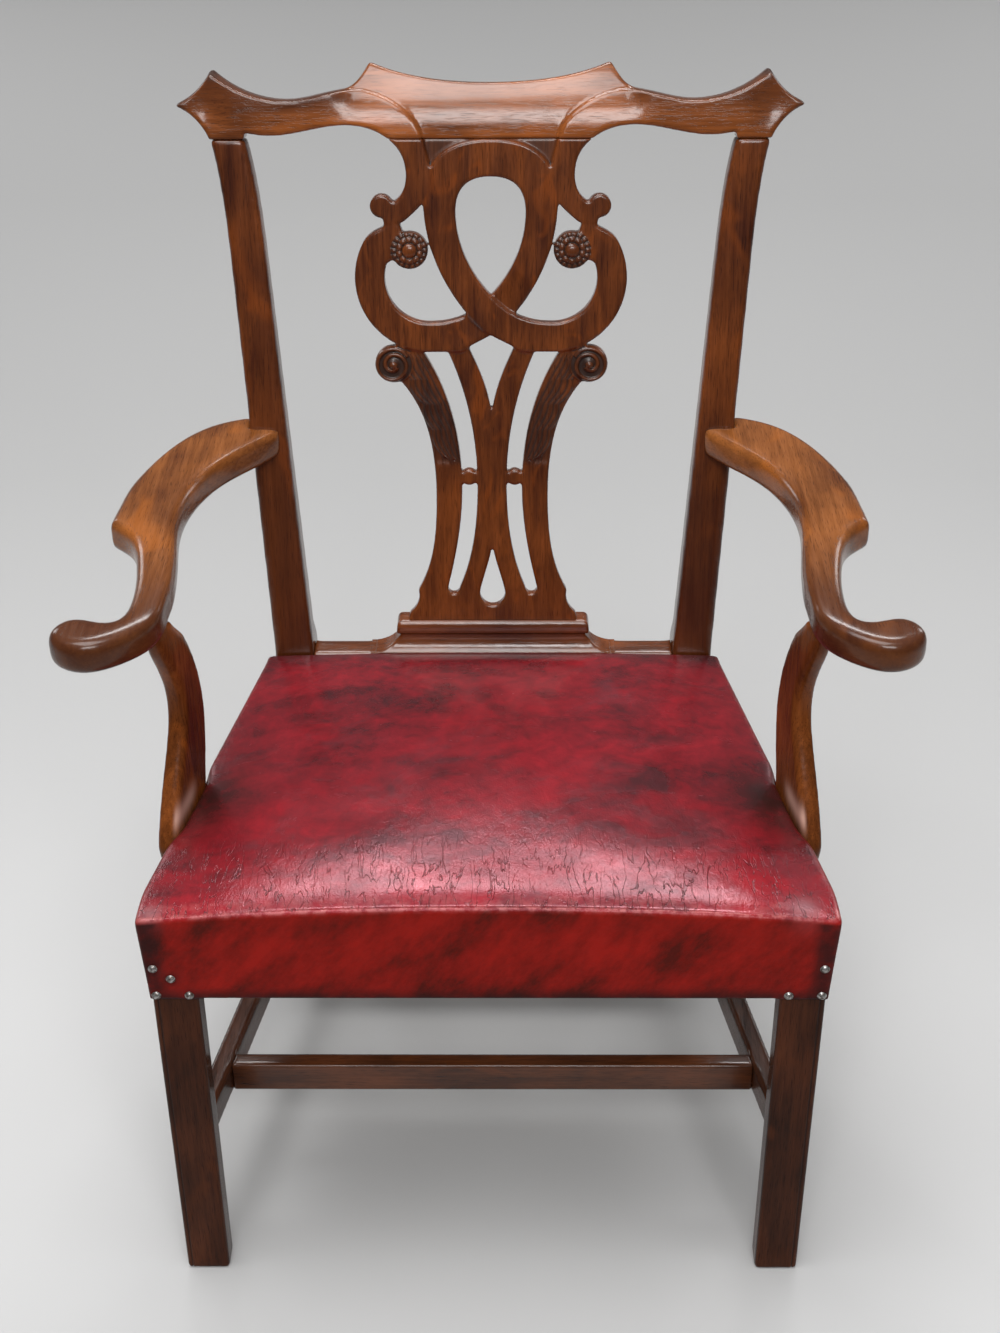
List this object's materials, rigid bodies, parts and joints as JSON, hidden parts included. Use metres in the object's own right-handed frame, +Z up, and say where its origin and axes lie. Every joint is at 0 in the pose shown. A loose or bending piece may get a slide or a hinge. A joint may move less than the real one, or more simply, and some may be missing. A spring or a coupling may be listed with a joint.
{
  "type": "carved splat-back armchair",
  "caption": "Mahogany armchair with a shaped crest, pierced ribbon splat, scrolled arms, square front legs with stretchers and a nailed red leather seat.",
  "frame": {"origin": "on the floor, under the middle of the chair's bounding box", "axes": "+Z up, the chair faces -Y, +X to the right as seen from the front"},
  "size_m": [0.7256, 0.59, 0.9887],
  "materials": {
    "mahogany": "polished, worn",
    "leather": "aged, glossy",
    "webbing": "woven jute",
    "hessian": "coarse plain weave",
    "stuffing": "matted hair",
    "nails": "tarnished dark",
    "tacks": "blued steel",
    "screws": "dull steel"
  },
  "bodies": {
    "root": {"arm_left": "mahogany", "arm_right": "mahogany", "arm_screws": "screws", "arm_support_left": "mahogany", "arm_support_right": "mahogany", "block_screws": "screws", "cover_nails": "nails", "cover_tacks": "tacks", "crest_rail": "mahogany", "cross_stretcher": "mahogany", "front_corner_block_left": "mahogany", "front_corner_block_right": "mahogany", "front_leg_left": "mahogany", "front_leg_right": "mahogany", "front_seat_rail": "mahogany", "hessian": "hessian", "leather_cover": "leather", "rear_corner_block_left": "mahogany", "rear_corner_block_right": "mahogany", "rear_leg_left": "mahogany", "rear_leg_right": "mahogany", "rear_seat_rail": "mahogany", "rear_stretcher": "mahogany", "shoe": "mahogany", "side_seat_rail_left": "mahogany", "side_seat_rail_right": "mahogany", "side_stretcher_left": "mahogany", "side_stretcher_right": "mahogany", "splat": "mahogany", "stuffing": "stuffing", "support_screws": "screws", "webbing_crosswise": "webbing", "webbing_lengthwise": "webbing", "webbing_tacks": "tacks"}
  },
  "joints": []
}
